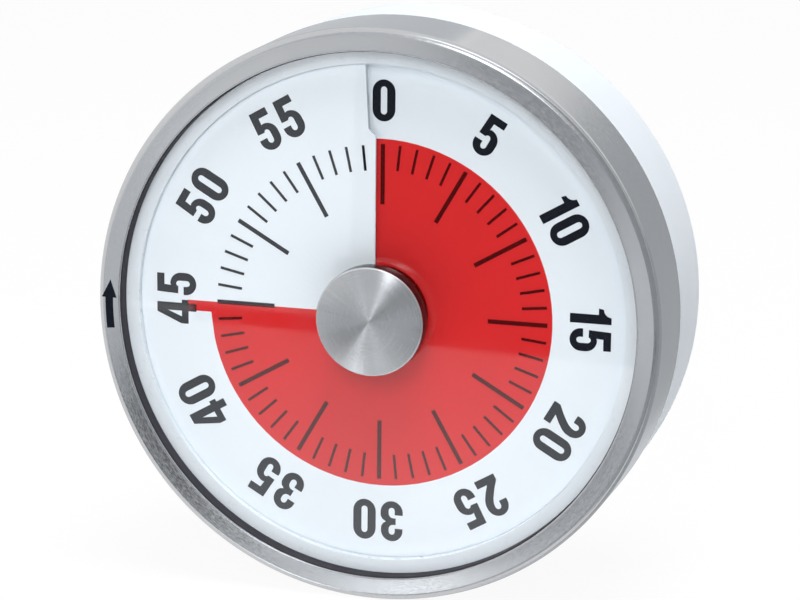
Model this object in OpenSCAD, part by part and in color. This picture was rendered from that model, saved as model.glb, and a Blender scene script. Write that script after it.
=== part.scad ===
// Sixty-minute visual timer, wound by its knob.
//
// A red film on the knob's arbor is threaded through the radial slit of a helical dial, so
// the part of it that lies in front of the dial shows the minutes that are left.
//
// Every piece is drawn on the spindle: z runs along it toward the reader, z = 0 is the face
// of the front ring, y is up and angles on the dial run clockwise from 12 o'clock. place()
// then stands the timer upright, with the middle of its back at the origin.

/* [Front ring] */
// Outer diameter of the steel front ring
ring_d = 79; // [76:0.5:84]
// Depth of the ring's side wall
ring_depth = 12.8; // [11:0.2:15]
// Thickness of the drawn sheet
ring_sheet = 0.5; // [0.4:0.05:0.6]
// Width of the flat face
ring_face_w = 3.3; // [3:0.1:4]
// Outer bend radius between the face and the side wall
ring_bend = 1; // [0.8:0.1:1.4]

/* [Case] */
// Depth of the timer from the ring's face to its back
case_depth = 29; // [28.5:0.1:32]
// Step from the ring's side wall down to the case
case_step = 0.5; // [0.3:0.1:1]
// Thickness of the side wall of the case
case_wall = 2.2; // [1.8:0.1:2.4]
// Thickness of the back wall of the case
back_wall = 2.2; // [1.8:0.1:2.4]
// Radius of the rear edge
case_round = 2; // [1:0.1:3]
// Diameter of the two magnets in the back
magnet_d = 10; // [8:0.5:12]
// Thickness of the magnets
magnet_t = 2; // [1.5:0.1:2.5]
// Distance from the side wall of the case to the middle of each magnet
magnet_inset = 11.8; // [10:0.2:13]

/* [Lens and dial] */
// Depth of the lens below the ring's face
lens_set = 1.6; // [1.3:0.1:2]
// Thickness of the lens
lens_t = 0.8; // [0.7:0.05:1]
// Rise of the dial in one turn
dial_pitch = 1.2; // [1.1:0.05:1.4]
// Thickness of the dial sheet
dial_t = 0.4; // [0.3:0.05:0.5]
// Distance from the inner edge of the ring to the rim of the dial
dial_inset = 2; // [1.8:0.1:2.6]
// Radius of the hole in the middle of the dial
dial_hole_r = 6.6; // [6.4:0.1:8]
// Width of the ledge under the rim of the dial
ledge_w = 5.8; // [4:0.1:6]
// Wall thickness of the dial bed
bed_wall = 1; // [0.8:0.1:1.2]

/* [Film] */
// Distance from the rim of the dial to the edge of the film
film_inset = 10.2; // [10:0.1:12]
// Thickness of the film
film_t = 0.25; // [0.2:0.01:0.3]
// Reach of the pointer tab beyond the film
tab_reach = 3.4; // [2:0.1:3.6]
// Width of the pointer tab
tab_w = 1.4; // [1:0.1:2]
// Minutes that are left on the dial
minutes = 45; // [45:1:45]

/* [Knob] */
// Diameter of the knob
knob_d = 15; // [13:0.5:17]
// Height of the knob's side
knob_h = 2.5; // [2.2:0.1:3]
// Stand of the knob's face in front of the ring's face
knob_stand = 1.85; // [1.6:0.05:2.6]
// Chamfer round the knob's face
knob_chamfer = 0.35; // [0.2:0.05:0.5]
// Radius of the neck that goes through the lens
neck_r = 3.4; // [3:0.1:4]
// Radius of the hub that carries the film
hub_r = 5.5; // [5:0.1:5.8]
// Radius of the main arbor
arbor_r = 1.5; // [1.2:0.1:1.8]

/* [Movement] */
// Distance from the side wall of the case to the two plates
plate_inset = 3; // [2.4:0.1:3.4]
// Thickness of the plates
plate_t = 1; // [0.8:0.1:1.2]
// Distance from the rim of the plates to the middle of each pillar
pillar_inset = 2.8; // [2.6:0.1:3.2]
// Radius of the pillars
pillar_r = 2.2; // [2:0.1:2.5]
// Radius of the screws that hold the movement
screw_r = 1; // [0.8:0.1:1.2]
// Module of the great wheel and its pinion
great_module = 0.4; // [0.38:0.01:0.42]
// Teeth of the great wheel
great_teeth = 72; // [60:12:72]
// Teeth of the second pinion
second_leaves = 12; // [12:1:12]
// Module of the two faster pairs
fine_module = 0.3; // [0.28:0.01:0.32]
// Teeth of the second wheel and of the third wheel
fine_teeth = 60; // [50:10:60]
// Teeth of the third pinion and of the escape pinion
fine_leaves = 10; // [10:1:10]
// Teeth of the escape wheel
escape_teeth = 15; // [12:1:18]
// Radius of the escape wheel
escape_r = 4.5; // [4:0.1:5]
// Radius of the train's arbors
train_arbor_r = 0.6; // [0.5:0.05:0.8]
// Turns of the mainspring
spring_turns = 5; // [3:1:6]

/* [Bell] */
// Distance from the bell to the strike cam
bell_from_cam = 1.5; // [1.3:0.1:3]
// Distance from the bell to the boss of the top screw
bell_from_boss = 0.5; // [0.4:0.1:2]
// Distance from the bell to the back wall of the case
bell_from_back = 2.3; // [2.1:0.1:3]

/* [Stand] */
// Distance from the side of the stand to the middle of the screw beside it
stand_from_screw = 5.1; // [5:0.1:8]
// Taper of each side of the stand toward its foot
stand_taper = 4; // [2:0.5:6]
// Distance from the edge of the case to the foot of the stand
stand_from_edge = 6.5; // [6:0.1:12]
// Thickness of the stand
stand_t = 2.2; // [2:0.1:2.6]
// Depth of the hinge below the spindle
stand_at = 6.5; // [6:0.1:8]
// Radius of the hinge pin
stand_pin_r = 0.6; // [0.5:0.05:0.7]

/* [Hidden] */
$fn = 96;

// Clearances
seat_gap = 0.03;
slip = 0.02;
running = 0.05;
snug = 0.08;
loose = 0.35;
joined = 0.01;

// Front ring, seal, lens and the nose of the case
ring_r = ring_d / 2;
ring_in_r = ring_r - ring_sheet;
lip_r = ring_r - ring_face_w;
nose_r = ring_in_r - snug;
case_r = ring_r - case_step;
case_in_r = case_r - case_wall;
lens_back = -lens_set - lens_t;
dial_r = lip_r - dial_inset;
film_r = dial_r - film_inset;
seal_skirt = 1;
lens_r = nose_r - seal_skirt;
lens_hole_r = neck_r + loose;
seal_set = 0.05;
seal_chamfer = 0.7;

// Dial, bed and film: the film lies halfway between two turns of the dial
half_pitch = dial_pitch / 2;
film_top_gap = 0.1;
film_high = lens_back - film_top_gap - film_t / 2;
dial_high = film_high - half_pitch;
dial_low = dial_high - dial_pitch;
film_low = dial_low - half_pitch;
bed_floor_gap = 0.9;
bed_floor = film_low - film_t / 2 - bed_floor_gap;
bed_flange = 1.2;
bed_hole_gap = 0.7;
bed_hole_r = hub_r + bed_hole_gap;
bed_slack = 0.2;
bed_r = case_in_r - bed_slack;
bed_rim_gap = 0.15;
bed_rim_r = dial_r + bed_rim_gap;
ledge_in_r = dial_r - ledge_w;
dial_steps = 90;
slit_bend = 0.9;
slit_bend_r = film_r + slit_bend;
dial_radii = [dial_hole_r, slit_bend_r - 0.5, slit_bend_r + 0.5, dial_r];
slit_over = [0.7, 0.7, 1.7, 2.2];
slit_under = [1.6, 1.6, 3, 3.2];
film_turn = minutes * 6;
film_hole_r = hub_r + 0.1;
film_radii = [film_hole_r, film_r];
film_span = 358;

// Knob
knob_r = knob_d / 2;
knob_base = knob_stand - knob_h;
cap_skin = 0.6;
core_r = knob_r - cap_skin - slip;
core_top = knob_stand - cap_skin;
core_bore_top = core_top - 0.5;
hub_top = lens_back - 0.3;
hub_base = bed_floor + 0.5;

// Movement, from the front plate to the back plate; level is a tenth of the way
plate_from_bed = 0.3;
plate_r = case_in_r - plate_inset;
front_plate_z = bed_floor - bed_wall - plate_from_bed;
front_plate_in = front_plate_z - plate_t;
back_in = -case_depth + back_wall;
plate_gap = (front_plate_in - back_in) * 4 / 7;
level = plate_gap / 10;
back_plate_in = front_plate_in - plate_gap;
back_plate_z = back_plate_in - plate_t;
pillar_at = plate_r - pillar_inset;
pillar_angles = [90, 232, 308];
pillar_step = 0.9;
pillar_neck_r = pillar_r - pillar_step;
screw_rim = 1.1;
screw_head_r = screw_r + screw_rim;
screw_head_t = 1.2;
screw_sink = 1.5;
screw_bite = 6;
screw_tip = 0.5;
slot_w = 0.5;
slot_deep = 0.6;
slot_edge = 0.8;
boss_wall = 0.9;
boss_r = screw_head_r + boss_wall;
magnet_x = case_in_r - magnet_inset;
magnet_wall = 1.2;

// Train
addendum = 0.8;
dedendum = 1.1;
tooth_share = 0.42;
flank = 20;
great_cd = great_module * (great_teeth + second_leaves) / 2;
fine_cd = fine_module * (fine_teeth + fine_leaves) / 2;
second_dir = 200;
third_dir = 110;
escape_dir = 55;
pallet_dir = 60;
pallet_cd = escape_r + 2;
second_at = great_cd * dir(second_dir);
third_at = second_at + fine_cd * dir(third_dir);
escape_at = third_at + fine_cd * dir(escape_dir);
pallet_at = escape_at + pallet_cd * dir(pallet_dir);
great_z = front_plate_in - 0.9 * level;
great_t = 1.2 * level;
fine_t = 0.8 * level;
second_z = great_z - 2.2 * level;
third_z = second_z - 2 * level;
escape_z = third_z - 2 * level;
leaf_over = 0.4 * level;
wheel_hub_r = 1.6;
pivot_short = 0.1;

// Mainspring
spring_in_r = arbor_r + running;
spring_free = 0.5;
spring_out_r = great_cd - fine_module * (fine_teeth / 2 + addendum) - spring_free;
spring_t = 0.25;
spring_z = back_plate_in + 0.6 * level;
spring_w = 6 * level;
spring_step = 12;

// Strike work and bell
cam_lift = 2.5;
cam_r = arbor_r + cam_lift;
cam_notch_r = 1;
cam_t = 1;
cam_gap = 0.4;
cam_z = back_plate_z - cam_gap;
bell_low = cam_r + bell_from_cam;
bell_high = pillar_at - boss_r - bell_from_boss;
bell_r = (bell_high - bell_low) / 2;
bell_at = (bell_high + bell_low) / 2;
bell_t = 0.6;
bell_rim_gap = 1;
bell_rim = back_plate_z - bell_rim_gap;
bell_crown = back_in + bell_from_back;
bell_post_r = 1.8;
bell_post_cap = 0.6;
bell_stud_r = 0.9;
hammer_side = 3;
hammer_lift = 0.5;
hammer_tail_gap = 0.7;
hammer_tail_y = 1.6;
hammer_pin_r = 0.8;
hammer_t = 0.8;
hammer_w = 1.2;
hub_step = 0.15;
hammer_head_r = 1.4;
hammer_drop = 1.6;
hammer_gap = 0.6;
bar_end = 0.1;
pin_over = 1;
hammer_pin = [bell_r + hammer_side, bell_low + hammer_lift];
hammer_tail = [cam_r + hammer_tail_gap, hammer_tail_y];
hammer_head = [bell_r + hammer_gap + hammer_head_r, bell_at];

// Pallet
pallet_span = 34;
pallet_pin_r = 0.35;
pallet_gap = 0.4;
pallet_hub_r = 1.5;
pallet_w = 0.9;
pallet_t = 0.5;

// Stand and its recess in the back
stand_sink = 0.1;
stand_clear = 0.3;
stand_w = 2 * (pillar_at * cos(pillar_angles[2]) - stand_from_screw);
stand_foot_w = stand_w - 2 * stand_taper;
stand_l = case_r - stand_at - stand_from_edge;
stand_axis = stand_sink + stand_t / 2;
stand_heel = 2.2;
stand_stop = 48;
stand_floor = stand_axis + stand_heel * sin(stand_stop) + stand_t / 2 * cos(stand_stop) + slip;
stand_corner = 3;
stand_pad = 1.4;
stand_pin_bite = 2.6;
recess_w = stand_w / 2 + stand_clear;
recess_top = -stand_at + norm([stand_heel, stand_t / 2]) + stand_clear;
recess_end = -stand_at - stand_l - stand_clear;
scoop_r = 3;
pad_rim = 1.5;
pad_side = 1;
pad_w = recess_w + stand_pin_bite + pad_side;

// A unit vector in the plane of the dial, anticlockwise from the right
function dir(a) = [cos(a), sin(a)];

// A point at radius r and at an angle clockwise from 12 o'clock
function on_dial(r, a) = [r * sin(a), r * cos(a)];

module place() {
    translate([0, -case_depth, 0]) rotate([90, 0, 0]) children();
}

module at_z(z) {
    translate([0, 0, z]) children();
}

// A round plate or pin between two depths
module disc(r, top, base) {
    at_z(base) cylinder(r = r, h = top - base);
}

// A quarter of a circle, as points from angle a to angle b
function arc(c, r, a, b, steps = 12) =
    [for (i = [0:steps]) c + r * dir(a + (b - a) * i / steps)];

// A sheet that climbs by pitch in one turn. from and to are the angles of its two ends at
// each radius, and reach draws a tab out of the last end. floor_z, if given, is a flat underside.
module helical_sheet(radii, from, to, pitch, mid, t, reach = 0, floor_z = undef) {
    n = dial_steps;
    m = len(radii);
    tab = [for (r = [radii[m - 1], radii[m - 1] + reach]) asin(tab_w / r)];
    function a(i, j) =
        reach > 0 && (i == n - 2 || i == n - 1) ? to[j] - tab[i - n + 2]
        : from[j] + (to[j] - from[j]) * i / n;
    function r(i, j) = radii[j] + (i > n - 2 && j == m - 1 ? reach : 0);
    function top(i, j) = mid + pitch * a(i, j) / 360 + t / 2;
    function base(i, j) = is_undef(floor_z) ? top(i, j) - t : floor_z;
    function at(k, i, j) = (k * (n + 1) + i) * m + j;
    function quad(p, q, s, u) = [[p, q, s], [p, s, u]];
    points = [
        for (k = [0, 1], i = [0:n], j = [0:m - 1])
            concat(on_dial(r(i, j), a(i, j)), k == 0 ? top(i, j) : base(i, j))
    ];
    faces = [
        for (i = [0:n - 1], j = [0:m - 2])
            each quad(at(0, i, j), at(0, i, j + 1), at(0, i + 1, j + 1), at(0, i + 1, j)),
        for (i = [0:n - 1], j = [0:m - 2])
            each [
                [at(1, i, j), at(1, i + 1, j + 1), at(1, i, j + 1)],
                [at(1, i, j), at(1, i + 1, j), at(1, i + 1, j + 1)]
            ],
        for (i = [0:n - 1])
            each quad(at(0, i + 1, m - 1), at(0, i, m - 1), at(1, i, m - 1), at(1, i + 1, m - 1)),
        for (i = [0:n - 1])
            each quad(at(0, i, 0), at(0, i + 1, 0), at(1, i + 1, 0), at(1, i, 0)),
        for (j = [0:m - 2])
            each quad(at(0, 0, j + 1), at(0, 0, j), at(1, 0, j), at(1, 0, j + 1)),
        for (j = [0:m - 2])
            each quad(at(0, n, j), at(0, n, j + 1), at(1, n, j + 1), at(1, n, j))
    ];
    polyhedron(points, faces);
}

// Outline of a gear with straight flanks and a little backlash
function gear_points(teeth, mod) =
    let (
        r = mod * teeth / 2,
        half = tooth_share * 180 / teeth,
        slope = mod * tan(flank) / r * 180 / PI,
        tip = half - addendum * slope,
        root = half + dedendum * slope,
        corners = [
            [r - dedendum * mod, -root],
            [r + addendum * mod, -tip],
            [r + addendum * mod, tip],
            [r - dedendum * mod, root]
        ]
    )
    [for (i = [0:teeth - 1], c = corners) c[0] * dir(360 * i / teeth + c[1])];

module gear(teeth, mod, t, bore, turn) {
    rotate(turn) difference() {
        linear_extrude(t) polygon(gear_points(teeth, mod));
        at_z(-joined) cylinder(r = bore, h = t + 2 * joined);
    }
}

// Lightening holes in the web of a wheel
module crossings(outer, inner, t, count = 5) {
    hole_r = (outer - inner) / 2 - 0.7;
    for (i = [0:count - 1])
        rotate(360 * (i + 0.5) / count)
            translate([(outer + inner) / 2, 0, -joined])
                cylinder(r = hole_r, h = t + 2 * joined, $fn = 48);
}

module train_wheel(turn) {
    difference() {
        gear(fine_teeth, fine_module, fine_t, train_arbor_r + slip, turn);
        crossings(fine_module * (fine_teeth / 2 - dedendum), wheel_hub_r, fine_t);
    }
}

// An arbor between the plates with its pinion
module train_arbor(leaves, mod, pinion_z, pinion_t, turn) {
    disc(train_arbor_r, front_plate_z - pivot_short, back_plate_z + pivot_short);
    at_z(pinion_z - pinion_t) rotate(turn) linear_extrude(pinion_t)
        polygon(gear_points(leaves, mod));
}

module front_ring() {
    color("silver") place() rotate_extrude()
        polygon(concat(
            [[lip_r, 0]],
            arc([ring_r - ring_bend, -ring_bend], ring_bend, 90, 0),
            [[ring_r, -ring_depth], [ring_in_r, -ring_depth]],
            arc([ring_r - ring_bend, -ring_bend], ring_bend - ring_sheet, 0, 90),
            [[lip_r, -ring_sheet]]
        ));
}

module lens_seal() {
    bore = lip_r + seal_set;
    color("dimgray") place() rotate_extrude()
        polygon([
            [bore, -ring_sheet], [nose_r - seal_chamfer, -ring_sheet],
            [nose_r, -ring_sheet - seal_chamfer], [nose_r, lens_back],
            [lens_r, lens_back], [lens_r, -lens_set], [bore, -lens_set]
        ]);
}

module lens() {
    color("lightcyan", 0.35) place() difference() {
        disc(lens_r - seat_gap, -lens_set, lens_back);
        disc(lens_hole_r, joined, lens_back - joined);
    }
}

module dial_bed() {
    under = [for (r = [ledge_in_r, dial_r]) -asin(slit_under[3] / r)];
    over = [for (r = [ledge_in_r, dial_r]) 360 - asin((slit_under[3] + 1) / r)];
    color("whitesmoke") place() {
        rotate_extrude()
            polygon([
                [bed_hole_r, bed_floor], [dial_r + joined, bed_floor], [bed_rim_r, bed_floor + bed_wall],
                [bed_rim_r, lens_back], [nose_r, lens_back], [nose_r, lens_back - bed_flange],
                [bed_r, lens_back - bed_flange], [bed_r, bed_floor - bed_wall],
                [bed_hole_r, bed_floor - bed_wall]
            ]);
        helical_sheet([ledge_in_r, dial_r], under, over, dial_pitch,
            dial_low - dial_t / 2 - seat_gap - joined, 2 * joined, 0, bed_floor - joined);
    }
}

module dial() {
    from = [for (j = [0:3]) -asin(slit_under[j] / dial_radii[j])];
    to = [for (j = [0:3]) 360 - asin(slit_over[j] / dial_radii[j])];
    color("white") place()
        helical_sheet(dial_radii, from, to, dial_pitch, dial_low, dial_t);
}

module red_film() {
    from = [for (r = film_radii) film_turn - film_span];
    to = [for (r = film_radii) film_turn];
    color("crimson", 0.8) place()
        helical_sheet(film_radii, from, to, dial_pitch, dial_low + half_pitch, film_t, tab_reach);
}

module case_shell() {
    color("white") place() difference() {
        union() {
            rotate_extrude()
                polygon(concat(
                    [[0, -case_depth]],
                    arc([case_r - case_round, case_round - case_depth], case_round, -90, 0),
                    [[case_r, -ring_depth - seat_gap], [nose_r, -ring_depth - seat_gap],
                     [nose_r, lens_back - bed_flange], [case_in_r, lens_back - bed_flange],
                     [case_in_r, back_in], [0, back_in]]
                ));
            for (a = pillar_angles)
                translate(pillar_at * dir(a)) disc(boss_r, back_plate_z, back_in - joined);
            for (s = [-1, 1])
                translate([s * magnet_x, 0])
                    disc(magnet_d / 2 + magnet_wall, magnet_t + 1 - case_depth, back_in - joined);
            intersection() {
                disc(case_in_r + joined, 0, -case_depth);
                translate([-pad_w, recess_end - pad_rim, joined - case_depth])
                    cube([2 * pad_w, recess_top - recess_end + 2 * pad_rim, stand_floor + stand_pad]);
            }
        }
        for (a = pillar_angles) translate(pillar_at * dir(a)) {
            disc(screw_r + running, 0, -case_depth - 1);
            disc(screw_head_r + 0.2, screw_sink - case_depth, -case_depth - 1);
        }
        for (s = [-1, 1]) translate([s * magnet_x, 0])
            disc(magnet_d / 2 + slip, magnet_t - case_depth, -case_depth - 1);
        stand_recess();
    }
}

// Outline of the stand from the top of its heel, measured from its hinge and grown by g
function stand_points(top, g) =
    let (
        half = stand_w / 2 + g,
        foot = [stand_foot_w / 2 - stand_corner, stand_corner - stand_l]
    )
    concat(
        [[-half, -stand_l / 2], [-half, top], [half, top], [half, -stand_l / 2]],
        arc(foot, stand_corner + g, 0, -90),
        arc([-foot[0], foot[1]], stand_corner + g, -90, -180)
    );

// The recess that the stand folds into, with a scoop for a fingertip and the pin's hole.
// Its floor stops the heel when the stand is open.
module stand_recess() {
    translate([0, -stand_at, -case_depth - 1]) linear_extrude(stand_floor + 1)
        polygon(stand_points(recess_top + stand_at, stand_clear));
    translate([0, -stand_at - stand_l]) disc(scoop_r, stand_floor - case_depth, -case_depth - 1);
    translate([0, -stand_at, stand_axis - case_depth]) rotate([0, 90, 0])
        cylinder(r = stand_pin_r + slip, h = 2 * (recess_w + stand_pin_bite), center = true);
}

module magnet(side) {
    color("gray") place() translate([side * magnet_x, 0])
        disc(magnet_d / 2, magnet_t - case_depth, 0.1 - case_depth);
}

module magnet_left() {
    magnet(-1);
}

module magnet_right() {
    magnet(1);
}

// Holes for the pivots of the train
module pivot_holes(top, base) {
    for (at = [second_at, third_at, escape_at, pallet_at])
        translate(at) disc(train_arbor_r + running, top, base);
    disc(arbor_r + running, top, base);
}

module front_plate() {
    color("gold") place() difference() {
        disc(plate_r, front_plate_z, front_plate_in);
        pivot_holes(front_plate_z + 1, front_plate_in - 1);
        for (a = pillar_angles)
            translate(pillar_at * dir(a)) disc(pillar_neck_r + slip, front_plate_z + 1, front_plate_in - 1);
    }
}

module back_plate() {
    color("gold") place() difference() {
        disc(plate_r, back_plate_in, back_plate_z);
        pivot_holes(back_plate_in + 1, back_plate_z - 1);
        for (a = pillar_angles)
            translate(pillar_at * dir(a)) disc(screw_r + running, back_plate_in + 1, back_plate_z - 1);
        translate([0, bell_at]) disc(bell_stud_r + slip, back_plate_in + 1, back_plate_z - 1);
        translate(hammer_pin) disc(hammer_pin_r + slip, back_plate_in + 1, back_plate_z - 1);
    }
}

module pillar(i) {
    color("goldenrod") place() translate(pillar_at * dir(pillar_angles[i])) difference() {
        union() {
            disc(pillar_r, front_plate_in, back_plate_in);
            disc(pillar_neck_r, front_plate_z, front_plate_in - joined);
        }
        disc(screw_r + slip, back_plate_in + screw_bite, back_plate_in - 1);
    }
}

module pillar_1() {
    pillar(0);
}

module pillar_2() {
    pillar(1);
}

module pillar_3() {
    pillar(2);
}

module screw(i) {
    seat = screw_sink - case_depth;
    slot_l = 2 * (screw_head_r - slot_edge);
    color("darkgray") place() translate(pillar_at * dir(pillar_angles[i])) difference() {
        union() {
            disc(screw_r, back_plate_in + screw_bite - screw_tip, seat - joined);
            disc(screw_head_r, seat, seat - screw_head_t);
        }
        for (a = [0, 90]) rotate(a) translate([-slot_l / 2, -slot_w / 2, seat - screw_head_t - slot_w])
            cube([slot_l, slot_w, slot_deep + slot_w]);
    }
}

module screw_1() {
    screw(0);
}

module screw_2() {
    screw(1);
}

module screw_3() {
    screw(2);
}

module mainspring() {
    rise = spring_out_r - spring_in_r - spring_t;
    steps = spring_turns * 360 / spring_step;
    coil = [for (i = [0:steps]) [spring_in_r + rise * i / steps, i * spring_step]];
    color("steelblue") place() at_z(spring_z) linear_extrude(spring_w)
        polygon(concat(
            [for (c = coil) c[0] * dir(c[1])],
            [for (i = [steps:-1:0]) (coil[i][0] + spring_t) * dir(coil[i][1])]
        ));
}

module bell() {
    color("lightsteelblue") place() translate([0, bell_at]) difference() {
        disc(bell_r, bell_rim, bell_crown);
        disc(bell_r - bell_t, bell_rim + 1, bell_crown + bell_t);
        disc(bell_stud_r + slip, bell_rim, bell_crown - 1);
    }
}

module bell_post() {
    color("silver") place() translate([0, bell_at]) {
        disc(bell_post_r, back_plate_z, bell_crown + bell_t);
        disc(bell_stud_r, back_plate_in, bell_crown - joined);
        disc(bell_post_r, bell_crown, bell_crown - bell_post_cap);
    }
}

module hammer_pivot() {
    color("silver") place() translate(hammer_pin)
        disc(hammer_pin_r, back_plate_in, cam_z - hammer_t - pin_over);
}

module stand_pin() {
    color("silver") place() translate([0, -stand_at, stand_axis - case_depth]) rotate([0, 90, 0])
        cylinder(r = stand_pin_r, h = 2 * (recess_w + stand_pin_bite - 0.1), center = true);
}

module knob_cap() {
    color("lightgray") place() rotate_extrude()
        polygon([
            [0, core_top], [0, knob_stand], [knob_r - knob_chamfer, knob_stand],
            [knob_r, knob_stand - knob_chamfer], [knob_r, knob_base],
            [knob_r - cap_skin, knob_base], [knob_r - cap_skin, core_top]
        ]);
}

module knob_core() {
    color("dimgray") place() difference() {
        union() {
            disc(core_r, core_top, knob_base);
            disc(neck_r, knob_base + joined, hub_top);
        }
        disc(arbor_r + slip, core_bore_top, hub_top - 1);
    }
}

module film_hub() {
    color("whitesmoke") place() difference() {
        disc(hub_r, hub_top, hub_base);
        disc(arbor_r + slip, hub_top + 1, hub_base - 1);
    }
}

module main_arbor() {
    color("silver") place() disc(arbor_r, core_bore_top - 0.1, cam_z - cam_t);
}

module great_wheel() {
    color("gold") place() at_z(great_z - great_t) difference() {
        gear(great_teeth, great_module, great_t, arbor_r + slip, second_dir);
        crossings(great_module * (great_teeth / 2 - dedendum), arbor_r + 1.5, great_t);
    }
}

module strike_cam() {
    color("goldenrod") place() difference() {
        disc(cam_r, cam_z, cam_z - cam_t);
        disc(arbor_r + slip, cam_z + 1, cam_z - cam_t - 1);
        rotate(second_dir) translate([cam_r, 0]) disc(cam_notch_r, cam_z + 1, cam_z - cam_t - 1);
    }
}

module second_wheel() {
    color("ivory") place() translate(second_at) at_z(second_z - fine_t) train_wheel(third_dir);
}

module second_arbor() {
    color("silver") place() translate(second_at)
        train_arbor(second_leaves, great_module, great_z + leaf_over, great_t + 2 * leaf_over,
            second_dir + 180 + 180 / second_leaves);
}

module third_wheel() {
    color("ivory") place() translate(third_at) at_z(third_z - fine_t) train_wheel(escape_dir);
}

module third_arbor() {
    color("silver") place() translate(third_at)
        train_arbor(fine_leaves, fine_module, second_z + leaf_over, fine_t + 2 * leaf_over,
            third_dir + 180 + 180 / fine_leaves);
}

module escape_wheel() {
    root = escape_r - 1.1;
    color("ivory") place() translate(escape_at) at_z(escape_z - fine_t) difference() {
        linear_extrude(fine_t)
            polygon([
                for (i = [0:escape_teeth - 1], c = [[root, 0.35], [escape_r, 0.05], [escape_r, 0]])
                    c[0] * dir(360 * (i - c[1]) / escape_teeth)
            ]);
        at_z(-joined) cylinder(r = train_arbor_r + slip, h = fine_t + 2 * joined);
    }
}

module escape_arbor() {
    color("silver") place() translate(escape_at)
        train_arbor(fine_leaves, fine_module, third_z + leaf_over, fine_t + 2 * leaf_over,
            escape_dir + 180 + 180 / fine_leaves);
}

// A lever with two pins that stand just clear of the escape wheel at rest
module pallet() {
    pin_at = escape_r + pallet_pin_r + pallet_gap;
    arm_z = escape_z - fine_t - pallet_gap;
    base = arm_z - pallet_t;
    color("silver") place() difference() {
        union() {
            for (s = [-1, 1]) {
                pin = escape_at + pin_at * dir(pallet_dir + s * pallet_span);
                bar(pallet_at, pin, pallet_w, arm_z - hub_step, base);
                translate(pin) disc(pallet_pin_r, escape_z, arm_z - pallet_t / 2);
            }
            translate(pallet_at) disc(pallet_hub_r, arm_z, base - hub_step);
        }
        translate(pallet_at) disc(train_arbor_r + slip, arm_z + 1, base - 1);
    }
}

// A flat bar of width w from a hub at p to a round end at q
module bar(p, q, w, top, base) {
    way = q - p;
    translate(p) rotate(atan2(way[1], way[0])) at_z(base) {
        translate([0, -w / 2]) cube([norm(way), w, top - base]);
        translate([norm(way), 0]) cylinder(r = w / 2 + bar_end, h = top - base, $fn = 32);
    }
}

module pallet_arbor() {
    color("silver") place() translate(pallet_at)
        disc(train_arbor_r, front_plate_z - pivot_short, back_plate_z + pivot_short);
}

module hammer() {
    top = cam_z;
    base = cam_z - hammer_t;
    color("silver") place() difference() {
        union() {
            bar(hammer_pin, hammer_tail, hammer_w, top - hub_step, base);
            bar(hammer_pin, hammer_head, hammer_w, top - hub_step, base);
            translate(hammer_pin) disc(hammer_pin_r + hammer_w, top, base - hub_step);
            translate(hammer_head) disc(hammer_head_r, top, bell_rim - hammer_drop);
        }
        translate(hammer_pin) disc(hammer_pin_r + running, top + 1, base - 1);
    }
}

module stand() {
    color("white") place() translate([0, -stand_at, stand_axis - case_depth]) difference() {
        at_z(-stand_t / 2) linear_extrude(stand_t) polygon(stand_points(stand_heel, 0));
        rotate([0, 90, 0]) cylinder(r = stand_pin_r + running, h = stand_w + 2, center = true);
    }
}

front_ring();
lens_seal();
lens();
dial_bed();
dial();
case_shell();
magnet_left();
magnet_right();
front_plate();
back_plate();
pillar_1();
pillar_2();
pillar_3();
screw_1();
screw_2();
screw_3();
mainspring();
bell();
bell_post();
hammer_pivot();
stand_pin();
red_film();
knob_cap();
knob_core();
main_arbor();
film_hub();
great_wheel();
strike_cam();
second_wheel();
second_arbor();
third_wheel();
third_arbor();
escape_wheel();
escape_arbor();
pallet();
pallet_arbor();
hammer();
stand();
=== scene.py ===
"""Dresses the wind-up minute timer: turned steel, printed dial, film, lens and moulded case."""
import math

import bmesh
import bpy
from bpy.props import FloatProperty, FloatVectorProperty, IntProperty, PointerProperty
from mathutils import Matrix, Vector


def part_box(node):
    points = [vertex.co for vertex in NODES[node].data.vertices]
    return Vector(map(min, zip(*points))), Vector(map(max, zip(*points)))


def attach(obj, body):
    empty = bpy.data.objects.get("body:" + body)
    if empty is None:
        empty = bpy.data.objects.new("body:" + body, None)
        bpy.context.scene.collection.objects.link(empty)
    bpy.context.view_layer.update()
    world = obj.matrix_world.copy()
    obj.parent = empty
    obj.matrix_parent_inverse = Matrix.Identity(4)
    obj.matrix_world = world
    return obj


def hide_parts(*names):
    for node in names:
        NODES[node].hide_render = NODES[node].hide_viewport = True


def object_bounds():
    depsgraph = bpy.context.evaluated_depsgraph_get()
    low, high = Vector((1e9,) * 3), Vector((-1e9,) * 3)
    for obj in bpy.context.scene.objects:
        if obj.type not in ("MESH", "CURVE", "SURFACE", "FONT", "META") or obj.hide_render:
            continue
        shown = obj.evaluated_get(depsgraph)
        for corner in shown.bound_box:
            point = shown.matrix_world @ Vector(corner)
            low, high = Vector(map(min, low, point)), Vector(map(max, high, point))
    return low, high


bl_info = {
    "name": "Minute Timer",
    "version": (1, 0, 0),
    "blender": (4, 5, 0),
    "location": "View3D > Sidebar > Timer",
    "description": "Builds the visible pieces, finishes and stage of a wind-up minute timer",
    "category": "Object",
}

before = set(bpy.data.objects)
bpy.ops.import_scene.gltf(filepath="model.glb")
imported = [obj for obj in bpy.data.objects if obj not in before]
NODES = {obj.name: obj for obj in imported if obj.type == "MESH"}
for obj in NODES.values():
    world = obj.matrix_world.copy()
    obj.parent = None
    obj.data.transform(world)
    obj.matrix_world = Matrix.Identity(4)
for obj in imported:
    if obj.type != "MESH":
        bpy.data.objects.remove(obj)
CAD_LOW, CAD_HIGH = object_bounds()
MM = 0.001

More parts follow.
